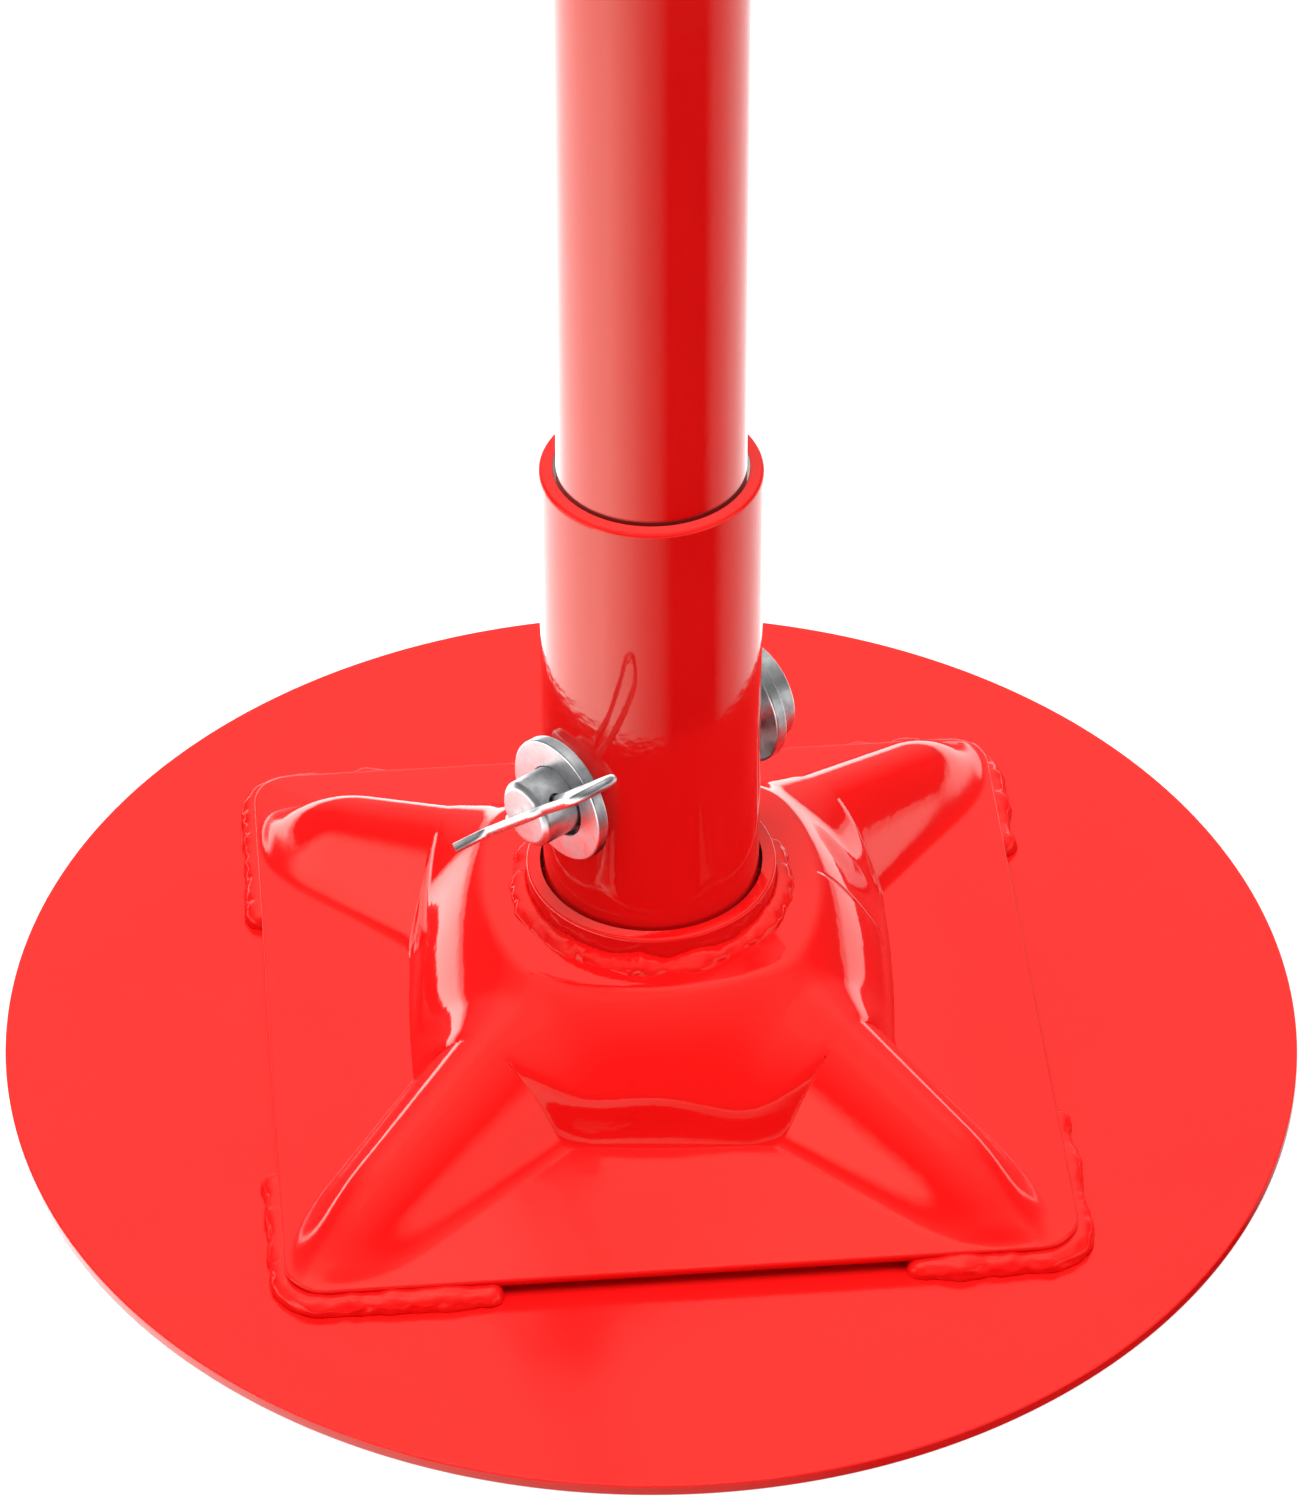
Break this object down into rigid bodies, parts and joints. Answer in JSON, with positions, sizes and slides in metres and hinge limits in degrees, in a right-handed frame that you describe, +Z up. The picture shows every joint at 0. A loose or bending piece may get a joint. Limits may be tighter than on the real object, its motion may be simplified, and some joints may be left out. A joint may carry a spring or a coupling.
{
  "type": "underhoist stand",
  "caption": "Tall round-based screw stand: a pinned tube on a pressed pedestal, a bearing-mounted spin handle that lifts a screw, and a swivelling forked saddle.",
  "frame": {"origin": "centre of the base plate's underside", "axes": "+Z up along the stand's axis, -Y towards the front of the pictured view, +X right"},
  "size_m": [0.305, 0.305, 1.362],
  "materials": {
    "enamel_red": "glossy red enamel",
    "zinc_plate": "bright zinc plating, slightly clouded",
    "bright_steel": "machined steel with a film of oil",
    "brass": "turned brass",
    "black_rubber": "matt moulded rubber"
  },
  "bodies": {
    "stand": {"base_plate": "enamel_red", "pedestal": "enamel_red", "corner_welds": "enamel_red", "collar": "enamel_red", "collar_weld": "enamel_red", "socket_tube": "enamel_red", "socket_foot_weld": "enamel_red", "main_tube": "enamel_red", "tube_cap": "enamel_red", "tube_cap_weld": "enamel_red", "lower_race": "bright_steel"},
    "pin": {"clevis_pin": "zinc_plate", "head_washer": "zinc_plate", "clip_washer": "zinc_plate"},
    "clip": {"r_clip": "zinc_plate"},
    "cage": {"bearing_balls": "bright_steel", "ball_cage": "brass"},
    "handle": {"upper_race": "bright_steel", "bearing_cover": "enamel_red", "handle_nut": "zinc_plate", "handle_arm_right": "zinc_plate", "handle_arm_left": "zinc_plate", "grip_right": "black_rubber", "grip_left": "black_rubber"},
    "screw": {"lifting_screw": "bright_steel", "guide_bush": "brass", "guide_washer": "zinc_plate", "guide_bolt": "zinc_plate"},
    "saddle": {"saddle_cup": "enamel_red", "saddle_cradle": "enamel_red", "saddle_weld": "enamel_red", "saddle_pad": "black_rubber", "pad_screws": "zinc_plate", "saddle_set_screw": "bright_steel"}
  },
  "joints": [
    {"name": "handle_spin", "type": "hinge", "parent": "stand", "child": "handle", "pos_m": [0, 0, 1.26], "axis": [0, 0, 1], "range_deg": [-37200, 0]},
    {"name": "screw_lift", "type": "slide", "parent": "stand", "child": "screw", "axis": [0, 0, 1], "range_m": [0, 0.62]},
    {"name": "cage_roll", "type": "hinge", "parent": "stand", "child": "cage", "pos_m": [0, 0, 1.2545], "axis": [0, 0, 1], "range_deg": [-18600, 0]},
    {"name": "saddle_swivel", "type": "hinge", "parent": "screw", "child": "saddle", "pos_m": [0, 0, 1.31], "axis": [0, 0, 1], "continuous": true},
    {"name": "pin_turn", "type": "hinge", "parent": "stand", "child": "pin", "pos_m": [0, 0, 0.0865], "axis": [0.7604, 0.6494, 0], "range_deg": [-156, 64]},
    {"name": "clip_pull", "type": "slide", "parent": "pin", "child": "clip", "axis": [0.4672, -0.547, 0.6947], "range_m": [0, 0.026]}
  ],
  "couplings": [
    {"joint": "screw_lift", "follows": "handle_spin", "m_per_rad": -0.00095493},
    {"joint": "cage_roll", "follows": "handle_spin", "ratio": 0.5}
  ]
}
